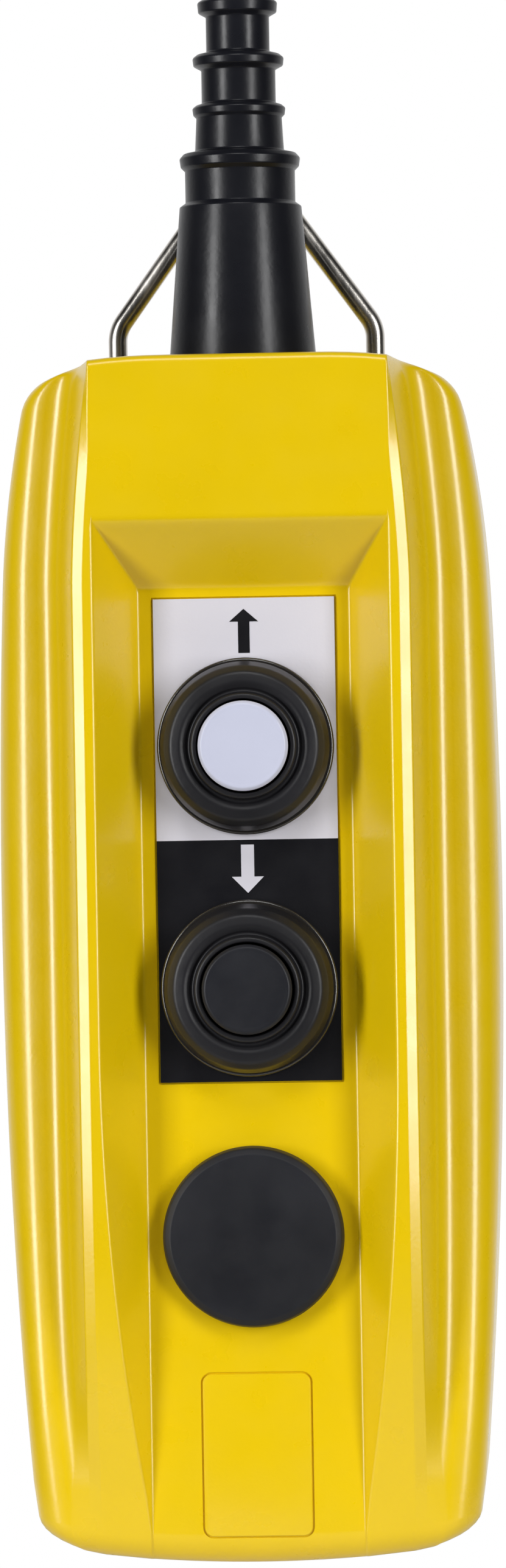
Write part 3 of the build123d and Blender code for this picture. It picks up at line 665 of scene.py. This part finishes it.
rear_shell = shell_form("rear_shell_moulding", rear_section, BACK_Y, 1)
cut(rear_shell, cavity(PARTING_Y - 1, BACK_Y - WALL))
cut(rear_shell, rear_openings)
weigh_normals(rear_shell)
coated(rear_shell, "yellow_plastic", "housing")
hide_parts("rear_shell")


def plate(name, outline_at, levels):
    """A closed plate: one outline for each level of (inset, y), front to back."""
    builder = bmesh.new()
    loops = [
        [builder.verts.new((x * MM, y * MM, z * MM)) for x, z in outline_at(inset)]
        for inset, y in levels
    ]
    builder.faces.new(loops[0])
    builder.faces.new(list(reversed(loops[-1])))
    for upper, lower in zip(loops, loops[1:]):
        for index in range(len(upper)):
            following = (index + 1) % len(upper)
            builder.faces.new((upper[following], upper[index], lower[index], lower[following]))
    bmesh.ops.recalc_face_normals(builder, faces=builder.faces)
    return finish_mesh(name, builder)


panel = plate("bare_panel", panel_outline, [
    (0.30, FLOOR_Y - 0.30), (0.12, FLOOR_Y - 0.25), (0.0, FLOOR_Y - 0.1), (0.0, FLOOR_Y + 0.5),
])
coated(panel, "yellow_plastic", "housing")

# ---------------------------------------------------------------- cable sleeve
SLEEVE = [
    (3.6, 0.2, 0.4), (5.9, 0.0, 0.4), (6.7, 0.5, 0.5), (6.55, 2.2, 0.4), (5.3, 2.9, 0.35),
    (5.3, 8.8, 0.35), (6.9, 9.2, 0.5), (7.65, 9.8, 0.5), (7.5, 11.1, 0.4), (6.2, 11.8, 0.4),
    (6.2, 17.4, 0.35), (7.2, 17.7, 0.4), (7.8, 18.2, 0.4), (7.65, 19.3, 0.35), (7.15, 19.8, 0.3),
    (7.45, 25.4, 0.4), (9.4, 25.8, 0.5), (10.1, 26.6, 0.5), (9.9, 28.0, 0.5), (9.2, 28.7, 0.3),
    (9.2, 34.0, 0.3), (10.2, 34.7, 0.4), (12.3, 60.5, 0.2), (10.3, 60.5, 0.2), (10.3, 63.5, 0.2),
    (13.0, 63.5, 0.2), (13.0, -SLEEVE_END, 0.2), (9.0, -SLEEVE_END, 0.2), (9.0, 34.3, 0.5),
    (6.6, 34.3, 0.3), (6.6, 25.8, 0.3), (5.3, 25.8, 0.3), (5.3, 17.7, 0.3), (4.4, 17.7, 0.3),
    (4.4, 9.2, 0.3), (3.6, 9.2, 0.3),
]
sleeve = lathe("cable_sleeve_moulding", SLEEVE, (0, 0, 0), (0, 0, -1))
coated(sleeve, "black_rubber", "housing")
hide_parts("cable_sleeve")


# ---------------------------------------------------------------- suspension bail
def bent_wire(name, corners, y, wire):
    """A round wire bent in a plane at depth y, with its ends' edges broken, all in mm."""
    line = rounded_path(corners, WIRE_STEPS)
    radius = wire / 2
    stations_along = []
    for index, point in enumerate(line):
        before = line[max(index - 1, 0)]
        after = line[min(index + 1, len(line) - 1)]
        stations_along.append((point, (after - before).normalized(), radius))
    first, last = stations_along[0], stations_along[-1]
    head = [(first[0], first[1], radius * WIRE_END_SHARE)]
    tail = [(last[0], last[1], radius * WIRE_END_SHARE)]
    stations_along[0] = (first[0] + first[1] * WIRE_END_RUN, first[1], radius)
    stations_along[-1] = (last[0] - last[1] * WIRE_END_RUN, last[1], radius)
    builder = bmesh.new()
    rings = []
    for point, direction, ring_radius in head + stations_along + tail:
        across = Vector((-direction.y, direction.x))
        ring = []
        for index in range(WIRE_SPOKES):
            angle = 2 * math.pi * index / WIRE_SPOKES
            flat = point + across * ring_radius * math.cos(angle)
            ring.append(builder.verts.new(
                (flat.x * MM, (y + ring_radius * math.sin(angle)) * MM, flat.y * MM)
            ))
        rings.append(ring)
    for lower, upper in zip(rings, rings[1:]):
        for index in range(WIRE_SPOKES):
            following = (index + 1) % WIRE_SPOKES
            builder.faces.new((lower[index], lower[following], upper[following], upper[index]))
    builder.faces.new(list(reversed(rings[0])))
    builder.faces.new(rings[-1])
    bmesh.ops.recalc_face_normals(builder, faces=builder.faces)
    return finish_mesh(name, builder, ROUND_SHARP)


BAIL_SHOULDER = TOP + 6.35
BAIL_PEAK = BAIL_SHOULDER + BAIL_LEG / math.tan(math.radians(36.0))
BAIL_FOOT = TOP - 7.0
BAIL_REACH = 30.4
BAIL_LINE = [
    (-BAIL_REACH, BAIL_FOOT, 0), (-BAIL_LEG, BAIL_FOOT, 3), (-BAIL_LEG, BAIL_SHOULDER, 6), (0, BAIL_PEAK, 9),
    (BAIL_LEG, BAIL_SHOULDER, 6), (BAIL_LEG, BAIL_FOOT, 3), (BAIL_REACH, BAIL_FOOT, 0),
]
bail = bent_wire("suspension_bail_wire", BAIL_LINE, PARTING_Y, BAIL_WIRE)
coated(bail, "bright_steel", "bail")
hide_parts("suspension_bail")

# ---------------------------------------------------------------- operators
# Profiles are (radius, height above the recess floor, rounding).
BEZEL = [
    (14.65, 0.9, 0.15), (14.65, 1.9, 0.45), (9.3, 1.9, 0.2), (9.3, -10.0, 0.1), (4.08, -10.0, 0.2),
    (4.08, -14.0, 0.2), (10.9, -14.0, 0.4), (10.9, 0.9, 0.1),
]
BOOT = [
    (9.7, 1.9, 0.1), (13.9, 1.9, 0.2), (14.0, 4.0, 1.6), (13.3, 6.9, 1.6), (12.2, 8.3, 1.2), (10.6, 8.6, 1.0),
    (9.6, 8.2, 0.5), (9.2, 7.5, 0.3), (8.8, 8.2, 0.3), (8.7, 10.0, 0.5), (7.8, 10.1, 0.25), (7.7, 7.3, 0.3),
    (9.3, 6.6, 0.4), (11.3, 7.2, 0.8), (12.3, 5.8, 1.0), (12.7, 4.4, 0.8), (12.7, 3.1, 0.2), (9.7, 3.1, 0.2),
]
CAP = [
    (0.0, 9.5, 0.0), (7.3, 9.5, 0.1), (7.45, 10.9, 0.4), (6.9, 11.4, 0.5), (6.3, 11.35, 0.4),
    (0.0, 11.5, 0.0),
]
PLUG = [
    (0.0, 3.7, 0.0), (13.7, 3.65, 0.5), (14.7, 3.0, 0.8), (15.0, 1.6, 0.6), (15.0, 0.5, 0.15),
    (10.9, 0.5, 0.1), (10.9, -9.0, 0.3), (9.3, -9.0, 0.3), (9.3, 0.6, 0.3), (0.0, 0.6, 0.0),
]
OUTWARD = (0, -1, 0)
# Springs behind each button: the node's name with the button left out, its wire, and its turns
SPRINGS = [("button_{}_spring", 1.0, 7.0), ("contact_{}_spring", 0.6, 5.0)]


def coil_spring(name, node, wire, turns):
    """A coil spring along Y that fills a CAD spring's box."""
    low, high = (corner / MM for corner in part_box(node))
    reach = (high.x - low.x - wire) / 2
    middle = (low + high) / 2
    start_y = low.y + wire / 2
    length = high.y - low.y - wire
    count = int(turns * COIL_STEPS)
    builder = bmesh.new()
    rings = []
    for index in range(count + 1):
        angle = 2 * math.pi * turns * index / count
        spoke = Vector((math.cos(angle), 0, math.sin(angle)))
        centre = Vector((middle.x, start_y + length * index / count, middle.z)) + spoke * reach
        ring = []
        for corner in range(COIL_SPOKES):
            turn = 2 * math.pi * corner / COIL_SPOKES
            offset = spoke * math.cos(turn) + Vector((0, math.sin(turn), 0))
            ring.append(builder.verts.new((centre + offset * wire / 2) * MM))
        rings.append(ring)
    for lower, upper in zip(rings, rings[1:]):
        for corner in range(COIL_SPOKES):
            following = (corner + 1) % COIL_SPOKES
            builder.faces.new((lower[corner], lower[following], upper[following], upper[corner]))
    builder.faces.new(list(reversed(rings[0])))
    builder.faces.new(rings[-1])
    bmesh.ops.recalc_face_normals(builder, faces=builder.faces)
    return finish_mesh(name, builder, ROUND_SHARP)

for name, z in STATIONS.items():
    centre = (0, FLOOR_Y, z)
    body = f"{name}_button"
    bezel = lathe(f"{name}_bezel_ring", BEZEL, centre, OUTWARD)
    coated(bezel, "black_plastic", "housing", BEZEL_BLACK)
    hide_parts(f"button_{name}_bezel")
    boot = lathe(f"{name}_boot_moulding", BOOT, centre, OUTWARD)
    boot.data.materials.append(BOOT_RUBBER)
    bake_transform(boot)
    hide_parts(f"button_{name}_boot")
    cap = lathe(f"{name}_cap_disc", CAP, centre, OUTWARD)
    if name == "up":
        coated(cap, "white_plastic", body, CAP_WHITE)
    else:
        coated(cap, "black_plastic", body, PLUG_BLACK)
    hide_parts(f"button_{name}_cap")
    for pattern, wire, turns in SPRINGS:
        node = pattern.format(name)
        spring = coil_spring(f"{node}_coil", node, wire, turns)
        spring.data.materials.append(MATERIALS[SLOTS[node]])
        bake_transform(spring)
        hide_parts(node)

plug = lathe("blanking_plug_disc", PLUG, (0, FLOOR_Y, PLUG_Z), OUTWARD)
coated(plug, "black_plastic", "housing", PLUG_BLACK)
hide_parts("blanking_plug")

# ---------------------------------------------------------------- stage, light and camera
scene = bpy.context.scene
scene.view_settings.view_transform = "Standard"

FLOOR_GAP = 30.0            # the station hangs this far above the floor
floor_builder = bmesh.new()
bmesh.ops.create_circle(floor_builder, cap_ends=True, segments=96, radius=0.2)
floor = finish_mesh("floor", floor_builder)
floor.location.z = (BOTTOM - FLOOR_GAP) * MM
floor_material, floor_tree, floor_shader = new_material("floor")
floor_shader.inputs["Roughness"].default_value = 0.8
floor_tree.links.new(
    ramp(floor_tree, noise(floor_tree, 30.0), 0.9, 0.94),
    floor_shader.inputs["Base Color"],
)
floor.data.materials.append(floor_material)

world = bpy.data.worlds.new("studio")
scene.world = world
world.use_nodes = True
tree = world.node_tree
background = tree.nodes["Background"]
direction = tree.nodes.new("ShaderNodeTexCoord")
split = tree.nodes.new("ShaderNodeSeparateXYZ")
tree.links.new(direction.outputs["Generated"], split.inputs["Vector"])
span = tree.nodes.new("ShaderNodeMapRange")
span.inputs["From Min"].default_value = -1.0
tree.links.new(split.outputs["Y"], span.inputs["Value"])
surround = ramp(tree, span.outputs["Result"], 0.012, 0.85, 0.58, 0.9)
tree.links.new(surround, background.inputs["Color"])
backdrop = tree.nodes.new("ShaderNodeBackground")
backdrop.inputs["Color"].default_value = (1.0, 1.0, 1.0, 1.0)
seen = tree.nodes.new("ShaderNodeLightPath")
mixed = tree.nodes.new("ShaderNodeMixShader")
tree.links.new(seen.outputs["Is Camera Ray"], mixed.inputs["Fac"])
tree.links.new(background.outputs["Background"], mixed.inputs[1])
tree.links.new(backdrop.outputs["Background"], mixed.inputs[2])
tree.links.new(mixed.outputs["Shader"], tree.nodes["World Output"].inputs["Surface"])


def area_light(name, place, target, size, power):
    """A soft rectangular light at a place, turned towards a target."""
    data = bpy.data.lights.new(name, "AREA")
    data.shape = "RECTANGLE"
    data.size, data.size_y = size
    data.energy = power
    light = bpy.data.objects.new(name, data)
    light.location = place
    aim = Vector(target) - Vector(place)
    light.rotation_mode = "QUATERNION"
    light.rotation_quaternion = aim.to_track_quat("-Z", "Y")
    scene.collection.objects.link(light)


MIDDLE = (0, 0, (TOP + BOTTOM) / 2 * MM)
STRIP_DISTANCE = 1.1
for name, degrees, power in (("left_strip", -48.0, 7.9), ("right_strip", 44.5, 7.1)):
    place = (
        STRIP_DISTANCE * math.sin(math.radians(degrees)),
        -STRIP_DISTANCE * math.cos(math.radians(degrees)),
        MIDDLE[2] + 0.15,
    )
    area_light(name, place, MIDDLE, (0.22, 0.8), power)
area_light("top_front", (0.0, -0.8, 0.75), MIDDLE, (0.5, 0.4), 3.4)

TARGET = Vector((0.00045, 0.0, -0.1313))
DISTANCE = 1.2
YAW = math.radians(2.6)
ROLL = 0.017
VIEW_HEIGHT = 0.2625
camera_data = bpy.data.cameras.new("camera")
camera_data.sensor_width = 36.0
camera_data.lens = camera_data.sensor_width * DISTANCE / VIEW_HEIGHT
camera = bpy.data.objects.new("camera", camera_data)
camera.location = TARGET + DISTANCE * Vector((math.sin(YAW), -math.cos(YAW), 0.0))
away = (camera.location - TARGET).normalized()
up = Vector((math.sin(ROLL), 0.0, math.cos(ROLL)))
right = up.cross(away).normalized()
camera.rotation_mode = "QUATERNION"
camera.rotation_quaternion = Matrix((right, away.cross(right), away)).transposed().to_quaternion()
scene.collection.objects.link(camera)
scene.camera = camera
